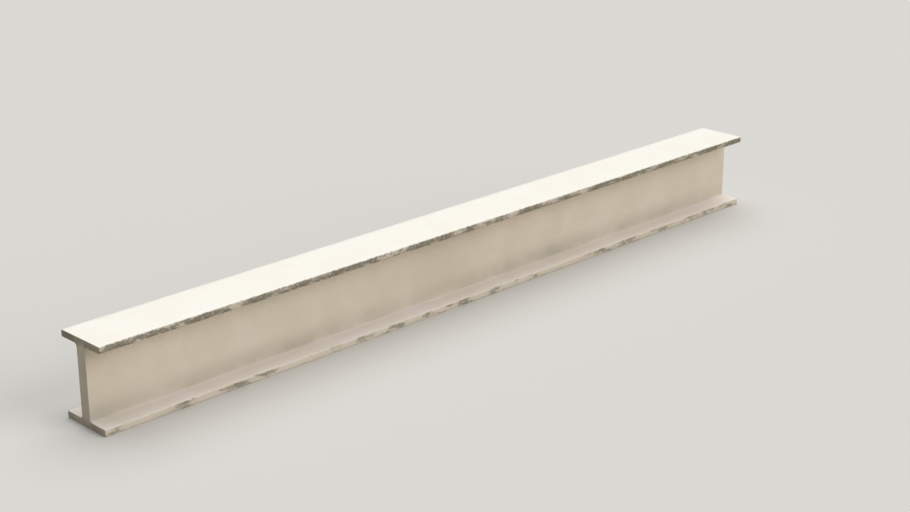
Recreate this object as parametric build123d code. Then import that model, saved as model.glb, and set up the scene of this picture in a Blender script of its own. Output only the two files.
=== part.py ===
# Hot-rolled steel I-beam, one solid cut to length.
# Millimetres. +X runs along the beam, +Y across its flanges and +Z up.
# The origin lies under the beam's middle, on the bottom flange's bearing face.
import os

from build123d import *

# Driving dimensions
beam_length = 3240.0
section_depth = 300.0  # over both flanges
flange_width = 206.0
flange_thickness = 24.0  # parallel flanges, alike top and bottom
web_thickness = 44.0
root_radius = 12.0  # where the web runs into a flange
toe_radius = 3.0  # rolled corners along the flange toes
end_chamfer = 1.0  # burr dressed off the sawn ends


def rolled_section():
    # The corners of one quarter, from web to flange top, are mirrored about both axes of the section.
    half_depth = section_depth / 2
    half_width = flange_width / 2
    half_web = web_thickness / 2
    flange_inside = half_depth - flange_thickness
    quarter = [(half_web, flange_inside), (half_width, flange_inside), (half_width, half_depth)]
    upper = quarter + [(-across, up) for across, up in reversed(quarter)]
    lower = [(across, -up) for across, up in reversed(upper)]
    upper_radii = [root_radius, toe_radius, toe_radius, toe_radius, toe_radius, root_radius]
    with BuildSketch(Plane.YZ.shift_origin((0, 0, half_depth))) as section:
        with BuildLine():
            FilletPolyline(*upper, *lower, radius=upper_radii + upper_radii, close=True)
        make_face()
    return section.sketch


def i_beam():
    # The section runs straight through, and a small chamfer follows its whole outline at both sawn ends.
    beam = extrude(rolled_section(), amount=beam_length / 2, both=True)
    faces_along = beam.faces().sort_by(Axis.X)
    end_edges = faces_along[0].edges() + faces_along[-1].edges()
    return chamfer(end_edges, length=end_chamfer)


os.makedirs("parts", exist_ok=True)
export_step(i_beam(), "parts/i_beam.step")
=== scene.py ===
import math

import bpy
import numpy as np
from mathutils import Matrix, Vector, noise


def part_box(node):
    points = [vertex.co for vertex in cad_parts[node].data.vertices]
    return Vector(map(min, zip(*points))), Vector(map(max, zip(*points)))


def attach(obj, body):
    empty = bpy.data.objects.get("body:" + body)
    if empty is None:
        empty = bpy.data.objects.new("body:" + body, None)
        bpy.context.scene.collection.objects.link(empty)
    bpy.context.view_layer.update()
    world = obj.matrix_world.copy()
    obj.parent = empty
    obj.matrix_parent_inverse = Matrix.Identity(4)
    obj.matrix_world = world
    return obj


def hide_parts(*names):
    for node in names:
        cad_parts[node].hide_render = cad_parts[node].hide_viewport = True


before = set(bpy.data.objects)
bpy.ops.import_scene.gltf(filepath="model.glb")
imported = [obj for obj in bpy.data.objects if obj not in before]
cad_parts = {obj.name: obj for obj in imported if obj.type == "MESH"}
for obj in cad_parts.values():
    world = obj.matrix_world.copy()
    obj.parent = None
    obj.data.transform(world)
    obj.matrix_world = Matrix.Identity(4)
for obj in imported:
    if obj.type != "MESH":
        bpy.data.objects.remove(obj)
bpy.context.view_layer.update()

# Metres, in the frame's own axes: X along the beam, Y across the flanges, Z up
beamLow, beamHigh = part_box("i_beam")
beamSize = beamHigh - beamLow
beamMiddle = (beamLow + beamHigh) / 2


def colour(red, green, blue):
    # screen values 0 to 255 turned into the linear values that nodes and lamps take
    parts = [value / 255 for value in (red, green, blue)]
    linear = [p / 12.92 if p <= 0.04045 else ((p + 0.055) / 1.055) ** 2.4 for p in parts]
    return (*linear, 1.0)


def eased(value, start, end):
    # 0 before start, 1 after end, smooth between them, for arrays
    t = np.clip((value - start) / (end - start), 0.0, 1.0)
    return t * t * (3.0 - 2.0 * t)


# Rolled section: web, flanges, and the radii that the rolls leave
section = {
    "web": 0.044,
    "flange": 0.024,
    "rootRadius": 0.012,
    "toeRadius": 0.003,
    "rootSteps": 6,  # facets round one root
    "toeSteps": 4,
    "runStep": 0.021,  # longest facet along a flat
    "runFacets": 4,  # and the fewest on it
}


def sectionCorners():
    # twelve corners in (y, z) about the section's middle, roots and toes, mirrored from one quarter
    halfWidth, halfDepth, halfWeb = beamSize.y / 2, beamSize.z / 2, section["web"] / 2
    inside = halfDepth - section["flange"]
    quarter = [(halfWeb, inside, "root"), (halfWidth, inside, "toe"), (halfWidth, halfDepth, "toe")]
    upper = quarter + [(-y, z, kind) for y, z, kind in reversed(quarter)]
    lower = [(y, -z, kind) for y, z, kind in reversed(upper)]
    return [(np.array((y, z)), kind) for y, z, kind in upper + lower]


def heading(start, end):
    return (end - start) / np.linalg.norm(end - start)


def sectionOutline():
    # closed outline in (y, z) with its outward normals: an arc at each corner, then the run to the next one
    corners = sectionCorners()
    points, normals = [], []
    for index, (corner, kind) in enumerate(corners):
        nextCorner, nextKind = corners[(index + 1) % len(corners)]
        back = heading(corner, corners[index - 1][0])
        ahead = heading(corner, nextCorner)
        radius, steps = section[kind + "Radius"], section[kind + "Steps"]
        outward = 1 if kind == "toe" else -1
        centre = corner + (back + ahead) * radius
        for step in range(steps + 1):
            turn = math.pi / 2 * step / steps
            spoke = -(ahead * math.cos(turn) + back * math.sin(turn))
            points.append(centre + spoke * radius)
            normals.append(spoke * outward)
        runStart = corner + ahead * radius
        run = nextCorner - ahead * section[nextKind + "Radius"] - runStart
        facets = max(section["runFacets"], math.ceil(np.linalg.norm(run) / section["runStep"]))
        for facet in range(1, facets):
            points.append(runStart + run * facet / facets)
            normals.append(normals[-1])
    return np.array(points) + (beamMiddle.y, beamMiddle.z), np.array(normals)


# Surface of the beam: slow rolled waves, crowned toes rubbed in patches, rounded sawn ends
surface = {
    "ringStep": 0.0054,
    "endRound": 0.001,
    "endSteps": 3,
    "sawnRim": 0.0008,  # strip of the sawn face beside its rounded arris
    "waveDepth": 0.0004,
    "waveLength": (0.45, 0.09, 0.12),
    "waveOctaves": 1,
    "octaveFade": 0.9,  # how fast finer octaves fade
    "octaveStep": 2.0,  # how much finer each one is
    "toeCrown": 0.0004,
    "patchLength": (0.08, 0.05, 0.028),
    "patchOctaves": 3,
    "patchSpan": (-0.32, 0.42),  # chance values at which the rubbing starts and is full
    "upperLean": 0.22,  # spreads the patches along the upper toes
    "lowerLean": -0.25,  # thins them out towards the bottom of the lower toes
    "rubbedUpper": (0.3, 1.0),  # least and most along the upper toes
    "rubbedLower": (0.0, 0.7),
    "rubbedDepth": 0.0008,  # most that an arris is worn down
    # share of the foot's dust and painted shade, and the heights above the flange where it thins and ends
    "footRises": [(0.7, 0.022, 0.085), (0.3, 0.012, 0.045)],
    "footRootShare": 0.25,  # share of the root radius that the dust and painted shade fill
    # turn of the normal towards a face, where the face starts and where it is whole
    "webTurn": (0.1, 0.7),
    "ledgeTurn": (0.6, 0.98),  # top of the bottom flange
    "crownTurn": (0.3, 0.95),  # top of the upper flange
    "bearingTurn": (0.5, 0.95),  # underside that the beam lies on
    "toeTurn": (0.5, 0.95),
    "arrisTurn": (0.1, 0.45),
}


def ringPlaces():
    # X of each ring and how far it steps into the metal, with the arris rounded at both ends
    length, endRound = beamSize.x, surface["endRound"]
    count = round((length - 2 * endRound) / surface["ringStep"])
    body = np.linspace(endRound, length - endRound, count + 1)
    turns = np.linspace(math.pi / 2, 0.0, surface["endSteps"] + 1)[:-1]
    arc = endRound * (1 - np.sin(turns))
    inset = endRound * (1 - np.cos(turns))
    rim = [endRound + surface["sawnRim"]]
    along = np.concatenate([[0.0], arc, body, length - arc[::-1], [length]])
    stepIn = np.concatenate([rim, inset, np.zeros(count + 1), inset[::-1], rim])
    return beamLow.x + along, stepIn


def spread(x, y, z, lengths, octaves):
    # smooth chance values of about -1 to 1 over the points, with the given lengths along X, Y and Z
    places = zip(x / lengths[0], y / lengths[1], z / lengths[2])
    fade, step = surface["octaveFade"], surface["octaveStep"]
    return np.array([noise.fractal(Vector(place), fade, step, octaves) for place in places])


def rubbedToes(x, y, z):
    # how far handling has rubbed the toes, from 0 to 1: nearly all along the upper ones, in patches on the
    # lower ones, most of all along their upper arris
    upper = z > beamMiddle.z
    patches = spread(x, y, z, surface["patchLength"], surface["patchOctaves"])
    drop = np.clip((beamLow.z + section["flange"] - z) / section["flange"], 0.0, 1.0)
    level = patches + np.where(upper, surface["upperLean"], surface["lowerLean"] * drop)
    least = np.where(upper, surface["rubbedUpper"][0], surface["rubbedLower"][0])
    most = np.where(upper, surface["rubbedUpper"][1], surface["rubbedLower"][1])
    return least + (most - least) * eased(level, *surface["patchSpan"])


def beamRelief(x, y, z, normalY, normalZ, rubbed):
    # depth of each point below the rolled size, because all relief goes into the metal
    upper = z > beamMiddle.z
    waves = spread(x, y, z, surface["waveLength"], surface["waveOctaves"])
    bearing = eased(-normalZ, *surface["bearingTurn"]) * ~upper  # the face it lies on stays flat
    depth = surface["waveDepth"] * np.clip(0.5 + 0.5 * waves, 0.0, 1.0) * (1 - bearing)
    atTip = np.abs(y) > beamSize.y / 2 - section["toeRadius"]
    onToe = eased(np.abs(normalY), *surface["toeTurn"]) * atTip
    halfFlange = section["flange"] / 2
    flangeMiddle = np.where(upper, beamHigh.z - halfFlange, beamLow.z + halfFlange)
    depth += surface["toeCrown"] * onToe * ((z - flangeMiddle) / halfFlange) ** 2
    onArris = eased(np.abs(normalY * normalZ), *surface["arrisTurn"]) * atTip
    return depth + surface["rubbedDepth"] * rubbed * onArris


def beamMasks(y, z, normalY, normalZ):
    # broad places where the finish changes or light and shade are painted, each from 0 to 1, read by name
    # in the paint
    upper = z > beamMiddle.z
    root = section["rootRadius"]
    outside = np.where(upper, beamHigh.z - z, z - beamLow.z)  # depth below the nearest bearing face
    fromWeb = np.maximum(np.abs(y) - section["web"] / 2, 0.0)
    fromFlange = np.maximum(outside - section["flange"], 0.0)
    rise = sum(share * (1 - eased(fromFlange, thin, end)) for share, thin, end in surface["footRises"])
    inRoot = 1 - eased(fromWeb, surface["footRootShare"] * root, root)
    underside = normalZ <= -surface["bearingTurn"][0]
    return {
        "foot": rise * inRoot * ~underside * ~upper,
        "ledge": eased(normalZ, *surface["ledgeTurn"]) * ~upper,
        "crown": eased(normalZ, *surface["crownTurn"]) * upper,
        "web": eased(np.abs(normalY), *surface["webTurn"]) * (fromWeb < root),
    }


def beamFaces(around, along):
    # four-sided faces between neighbouring rings, then one face over each sawn end
    ring = np.arange(around)
    turned = np.roll(ring, -1)
    rows = np.arange(along - 1)[:, None] * around
    strip = np.stack([rows + ring, rows + turned, rows + turned + around, rows + ring + around], -1)
    sawnEnds = [ring[::-1].tolist(), ((along - 1) * around + ring).tolist()]
    return strip.reshape(-1, 4).tolist() + sawnEnds


def buildBeam():
    outline, normals = sectionOutline()
    rings, stepIn = ringPlaces()
    around, along = len(outline), len(rings)
    x = np.repeat(rings, around)
    y, z = np.tile(outline.T, along)
    normalY, normalZ = np.tile(normals.T, along)
    rubbed = rubbedToes(x, y, z)
    depth = beamRelief(x, y, z, normalY, normalZ, rubbed) + np.repeat(stepIn, around)
    vertices = np.stack([x, y - normalY * depth, z - normalZ * depth], 1)
    faces = beamFaces(around, along)

    mesh = bpy.data.meshes.new("iBeamRolled")
    mesh.from_pydata(vertices.tolist(), [], faces)
    mesh.polygons.foreach_set("use_smooth", [len(face) == 4 for face in faces])  # the sawn ends stay flat
    masks = beamMasks(y, z, normalY, normalZ)
    masks["rubbed"] = rubbed
    for name, values in masks.items():
        layer = mesh.attributes.new(name, "FLOAT", "POINT")
        layer.data.foreach_set("value", values.astype(np.float32))
    mesh.update()
    piece = bpy.data.objects.new("iBeamRolled", mesh)
    bpy.context.collection.objects.link(piece)
    print("beam surface:", len(vertices), "points,", sum(len(face) - 2 for face in faces), "triangles")
    return piece


class Wiring:
    # adds nodes to one material or world, and links or sets their sockets
    def __init__(self, owner):
        owner.use_nodes = True
        self.tree = owner.node_tree

    def put(self, socket, value):
        if isinstance(value, bpy.types.NodeSocket):
            self.tree.links.new(value, socket)
        else:
            socket.default_value = value

    def add(self, kind, **inputs):
        node = self.tree.nodes.new("ShaderNode" + kind)
        for name, value in inputs.items():
            self.put(node.inputs[name], value)
        return node

    def calc(self, operation, *values):
        node = self.tree.nodes.new("ShaderNodeMath")
        node.operation = operation
        for socket, value in zip(node.inputs, values):
            self.put(socket, value)
        return node.outputs[0]

    def total(self, *terms):
        result = terms[0]
        for term in terms[1:]:
            result = self.calc("ADD", result, term)
        return result

    def times(self, *factors):
        result = factors[0]
        for factor in factors[1:]:
            result = self.calc("MULTIPLY", result, factor)
        return result

    def ramp(self, value, start, end, low=0.0, high=1.0):
        # low up to start, high from end on, smooth between them
        node = self.tree.nodes.new("ShaderNodeMapRange")
        node.interpolation_type = "SMOOTHSTEP"
        settings = {"Value": value, "From Min": start, "From Max": end, "To Min": low, "To Max": high}
        for name, setting in settings.items():
            self.put(node.inputs[name], setting)
        return node.outputs["Result"]

    def blend(self, factor, first, second):
        node = self.tree.nodes.new("ShaderNodeMix")
        node.data_type = "RGBA"
        colourA, colourB = node.inputs[6], node.inputs[7]
        self.put(node.inputs["Factor"], factor)
        self.put(colourA, first)
        self.put(colourB, second)
        return node.outputs[2]

    def grain(self, where, perMetre, octaves, roughness, shift=(0.0, 0.0, 0.0)):
        # noise with so many grains a metre along X, Y and Z
        place = self.add("Mapping", Vector=where, Location=shift, Scale=perMetre).outputs["Vector"]
        noiseNode = self.add("TexNoise", Vector=place, Scale=1.0, Detail=octaves, Roughness=roughness)
        return noiseNode.outputs["Fac"]

    def mask(self, name):
        node = self.tree.nodes.new("ShaderNodeAttribute")
        node.attribute_name = name
        return node.outputs["Fac"]

    def seenRay(self):
        # 1 for what the camera sees, by itself or in shiny and clear surfaces, and 0 for bounced light
        rays = self.add("LightPath").outputs
        shiny = self.calc("MAXIMUM", rays["Is Glossy Ray"], rays["Is Transmission Ray"])
        return self.calc("MAXIMUM", rays["Is Camera Ray"], shiny)


# Paint: soft cream clouds, a top painted paler as painted light, faint wash marks down the web, dust with
# painted shade at its foot, dust with painted light on the bottom flange, toes rubbed dark
paint = {
    "rosy": colour(239, 230, 217),
    "green": colour(233, 227, 212),
    "deep": colour(226, 218, 202),
    "paintedLightTop": colour(246, 246, 240),  # top of the upper flange, painted paler and whiter as painted light
    "paintedLightTopRosy": colour(245, 243, 236),
    "wash": colour(222, 212, 196),
    "film": colour(206, 197, 180),  # fine grain in the film
    # darker foot of the web: dust, with painted shade in the root crease
    "footDustAndPaintedLight": colour(190, 184, 170),
    # paler, pinker top of the bottom flange: dust, with painted light
    "ledgeDustAndPaintedLight": colour(243, 237, 237),
    "rubbed": colour(148, 143, 128),
    "rubbedDark": colour(121, 117, 103),
    "sheen": 0.18,
    "rubbedShine": 0.08,  # roughness that rubbing takes off
    "fleckedShare": 0.4,  # share of the rubbing that shows as flecks
    "lowerEndShareAsPaintedLight": 0.55,  # grime on the lower flange's ends against the upper one's, kept lower partly as painted light against the floor's shade
    "grains": {
        # grains a metre along X, Y and Z, octaves, roughness, and the clouds' shift along the beam
        "tint": ((6.5, 6.5, 6.5), 4.0, 0.6),
        "clouds": ((2.2, 2.2, 2.2), 3.0, 0.6, (18.7, 0.0, 0.0)),
        "washes": ((6.0, 1.0, 2.5), 4.0, 0.6),
        "stains": ((3.0, 3.0, 3.0), 4.0, 0.6),
        "mottle": ((16.0, 16.0, 16.0), 5.0, 0.62),
        "film": ((210.0, 210.0, 210.0), 5.0, 0.7),
        "flecks": ((110.0, 200.0, 200.0), 5.0, 0.68),
        "strokes": ((1.0, 25.0, 700.0), 2.0, 0.6),  # of the saw, across the ends
        "stipple": ((420.0, 420.0, 420.0), 2.0, 0.55),
        "rollLines": ((3.0, 160.0, 160.0), 3.0, 0.6),
    },
    "ramps": {
        # value at which a change starts and is whole, then what it gives there, if not 0 and 1
        "tint": (0.36, 0.64),
        "clouds": (0.42, 0.72),
        "washes": (0.45, 0.75, 0.0, 0.25),
        "film": (0.42, 0.72, 0.0, 0.22),
        "footStains": (0.38, 0.66, 0.55, 1.0),
        "footMottle": (0.3, 0.7, 0.75, 1.0),
        "ledgeStains": (0.38, 0.62, 1.0, 0.6),
        "ledgeMottle": (0.3, 0.7, 0.6, 1.0),
        "tipRagged": (0.25, 0.75, 0.0016, -0.0016),  # metres either way
        "tip": (0.0024, 0.0006),  # metres in from the flange tip
        "flecks": (0.3, 0.7, -0.5, 0.5),
        "worn": (0.32, 0.68),
        "wornFrom": (0.0, 0.2),  # no flecks where there is no grime
        "sawn": (0.0008, 0.0002),  # metres in from the end
        "endSmears": (0.32, 0.66, 0.4, 0.85),
        "endRagged": (0.3, 0.7, 0.007, -0.007),  # metres either way
        "endStrokes": (0.3, 0.7, 0.85, 1.1),
        "dark": (0.4, 0.65),
        "roughness": (0.3, 0.7, 0.56, 0.72),
    },
    "endGrimeSpan": (0.011, -0.009),  # metres past the flange's inside where it starts and is whole
    "heights": {"stipple": 0.35, "rollLines": 0.35, "strokes": 0.7, "worn": -0.5},  # shares of the relief
    "reliefStrength": 0.5,
    "reliefDepth": 0.0008,
}
ramps = paint["ramps"]


def paintPlaces(w):
    # sockets by name: the grains, measures from the beam's faces, and the masks without the sawn ends
    where = w.add("TexCoord").outputs["Object"]
    x, y, z = w.add("SeparateXYZ", Vector=where).outputs
    at = {name: w.grain(where, *settings) for name, settings in paint["grains"].items()}
    fromEnd = w.calc("SUBTRACT", beamSize.x / 2, w.calc("ABSOLUTE", x))
    at["sawn"] = w.ramp(fromEnd, *ramps["sawn"])
    at["skin"] = w.calc("SUBTRACT", 1.0, at["sawn"])  # all that the rolls have shaped
    at["fromTip"] = w.calc("SUBTRACT", beamSize.y / 2, w.calc("ABSOLUTE", y))
    at["outside"] = w.calc("MINIMUM", z, w.calc("SUBTRACT", beamSize.z, z))
    at["height"] = z
    for name in ("crown", "web", "foot", "ledge"):
        at[name] = w.times(w.mask(name), at["skin"])
    return at


def creamFilm(w, at):
    # soft clouds over the whole beam, the top of the upper flange painted paler as painted light, faint
    # wash marks down the web, and fine grain in the film
    tint = w.ramp(at["tint"], *ramps["tint"])
    clouds = w.ramp(at["clouds"], *ramps["clouds"])
    shaded = w.blend(clouds, w.blend(tint, paint["rosy"], paint["green"]), paint["deep"])
    # the top of the upper flange is painted paler, as painted light
    paintedLightTopFilm = w.blend(tint, paint["paintedLightTop"], paint["paintedLightTopRosy"])
    film = w.blend(at["crown"], shaded, paintedLightTopFilm)
    washes = w.ramp(at["washes"], *ramps["washes"])
    film = w.blend(w.times(washes, at["web"]), film, paint["wash"])
    return w.blend(w.ramp(at["film"], *ramps["film"]), film, paint["film"])


def dustAndPaintedLight(w, at, film):
    # dust with painted shade along the foot of the web, and dust with painted light making the bottom
    # flange's top paler
    for place in ("foot", "ledge"):
        mottle = w.ramp(at["mottle"], *ramps[place + "Mottle"])
        stains = w.ramp(at["stains"], *ramps[place + "Stains"])
        film = w.blend(w.times(at[place], mottle, stains), film, paint[place + "DustAndPaintedLight"])
    return film


def toeRubbing(w, at):
    # soft grime along the toes, and flecks worn through the film where it is thickest
    ragged = w.total(at["fromTip"], w.ramp(at["flecks"], *ramps["tipRagged"]))
    grime = w.times(w.ramp(ragged, *ramps["tip"]), w.mask("rubbed"))
    lean = w.total(grime, w.ramp(at["flecks"], *ramps["flecks"]))
    worn = w.times(w.ramp(lean, *ramps["worn"]), w.ramp(grime, *ramps["wornFrom"]))
    flecked = paint["fleckedShare"]
    return w.total(w.times(grime, 1.0 - flecked), w.times(worn, flecked)), worn


def endGrime(w, at, strokes):
    # grime on the flanges' sawn ends, running out raggedly on the web's
    flange = section["flange"]
    # less grime on the lower flange's ends, partly as painted light against the floor's shade
    paintedLightLowerEnds = w.ramp(at["height"], flange, beamSize.z - flange, paint["lowerEndShareAsPaintedLight"], 1.0)
    smears = w.ramp(at["mottle"], *ramps["endSmears"])
    ragged = w.total(at["outside"], w.ramp(at["mottle"], *ramps["endRagged"]))
    inFlange = w.ramp(ragged, *[flange + past for past in paint["endGrimeSpan"]])
    return w.times(at["sawn"], inFlange, paintedLightLowerEnds, smears, w.ramp(strokes, *ramps["endStrokes"]))


def creamPaint():
    material = bpy.data.materials.new("creamPaint")
    w = Wiring(material)
    shader = material.node_tree.nodes["Principled BSDF"]
    at = paintPlaces(w)
    strokes = w.times(at["strokes"], at["sawn"])
    onToe, worn = toeRubbing(w, at)
    rubbed = w.calc("MAXIMUM", onToe, endGrime(w, at, strokes))
    under = w.blend(w.ramp(at["film"], *ramps["dark"]), paint["rubbed"], paint["rubbedDark"])
    w.put(shader.inputs["Base Color"], w.blend(rubbed, dustAndPaintedLight(w, at, creamFilm(w, at)), under))

    shader.inputs["Specular IOR Level"].default_value = paint["sheen"]
    roughness = w.ramp(at["mottle"], *ramps["roughness"])
    w.put(shader.inputs["Roughness"], w.total(roughness, w.times(rubbed, -paint["rubbedShine"])))

    # stipple of the film, lines left by the rolls, saw strokes on the ends, and the film worn thin
    rollLines = w.times(at["rollLines"], at["skin"])
    reliefs = {"stipple": at["stipple"], "rollLines": rollLines, "strokes": strokes, "worn": worn}
    height = w.total(*[w.times(relief, paint["heights"][name]) for name, relief in reliefs.items()])
    bump = w.add("Bump", Height=height, Strength=paint["reliefStrength"], Distance=paint["reliefDepth"])
    w.put(shader.inputs["Normal"], bump.outputs["Normal"])
    return material


beamPiece = buildBeam()
beamPiece.data.materials.append(creamPaint())
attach(beamPiece, "root")
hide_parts("i_beam")
print("beam painted")


# Floor, light and camera
studio = {
    "floorSize": 60.0,
    "floorSeen": colour(212, 212, 210),
    "floorBounce": colour(160, 154, 144),  # what the floor throws back at the beam
    "floorRoughness": 0.9,
    "floorSheen": 0.1,
    "air": colour(240, 238, 233),
    "airStrength": 0.185,
    "backdrop": colour(219, 218, 214),
    "backdropStrength": 1.0,
    "lamps": {
        # strength, soft angle in degrees, colour, direction towards the lamp
        "overheadLamp": (2.3, 70, colour(255, 254, 252), (0.28, 0.30, 1.0)),
        "frontFill": (1.55, 50, colour(255, 249, 243), (0.50, -0.85, 0.48)),
    },
}


def paleFloor():
    material = bpy.data.materials.new("paleFloor")
    w = Wiring(material)
    shader = material.node_tree.nodes["Principled BSDF"]
    shader.inputs["Roughness"].default_value = studio["floorRoughness"]
    shader.inputs["Specular IOR Level"].default_value = studio["floorSheen"]
    w.put(shader.inputs["Base Color"], w.blend(w.seenRay(), studio["floorBounce"], studio["floorSeen"]))
    return material


def addFloor():
    half, level = studio["floorSize"] / 2, beamLow.z
    mesh = bpy.data.meshes.new("floor")
    corners = [(-half, -half, level), (half, -half, level), (half, half, level), (-half, half, level)]
    mesh.from_pydata(corners, [], [(0, 1, 2, 3)])
    mesh.materials.append(paleFloor())
    floor = bpy.data.objects.new("floor", mesh)
    bpy.context.collection.objects.link(floor)


def addAir():
    # soft light from all round, and the plain backdrop that the camera sees
    world = bpy.data.worlds.new("studioAir")
    bpy.context.scene.world = world
    w = Wiring(world)
    background = world.node_tree.nodes["Background"]
    seen = w.seenRay()
    w.put(background.inputs["Color"], w.blend(seen, studio["air"], studio["backdrop"]))
    strength = w.ramp(seen, 0.0, 1.0, studio["airStrength"], studio["backdropStrength"])
    w.put(background.inputs["Strength"], strength)


def addLamps():
    for name, (strength, angle, tint, towards) in studio["lamps"].items():
        lamp = bpy.data.lights.new(name, "SUN")
        lamp.energy = strength
        lamp.angle = math.radians(angle)
        lamp.color = tint[:3]
        holder = bpy.data.objects.new(name, lamp)
        holder.rotation_euler = Vector(towards).to_track_quat("Z", "Y").to_euler()
        holder.location = beamMiddle + Vector(towards) * beamSize.x
        bpy.context.collection.objects.link(holder)


view = {
    "azimuth": 45.0,  # degrees round from square on to the web
    "elevation": 20.0,
    "distance": 6.376,
    "focalPixels": 1720.0,
    "imageWidth": 910.0,
    "sensor": 36.0,  # millimetres
}


def addCamera():
    turn, rise = math.radians(view["azimuth"]), math.radians(view["elevation"])
    forward = Vector((math.sin(turn) * math.cos(rise), math.cos(turn) * math.cos(rise), -math.sin(rise)))
    lens = bpy.data.cameras.new("photoCamera")
    lens.sensor_width = view["sensor"]
    lens.lens = view["focalPixels"] / view["imageWidth"] * view["sensor"]
    lens.clip_end = studio["floorSize"] * 2
    holder = bpy.data.objects.new("photoCamera", lens)
    holder.location = beamMiddle - forward * view["distance"]
    holder.rotation_euler = forward.to_track_quat("-Z", "Y").to_euler()
    bpy.context.collection.objects.link(holder)
    bpy.context.scene.camera = holder


addFloor()
addAir()
addLamps()
addCamera()
bpy.context.scene.view_settings.view_transform = "Standard"
print("floor, light and camera set")
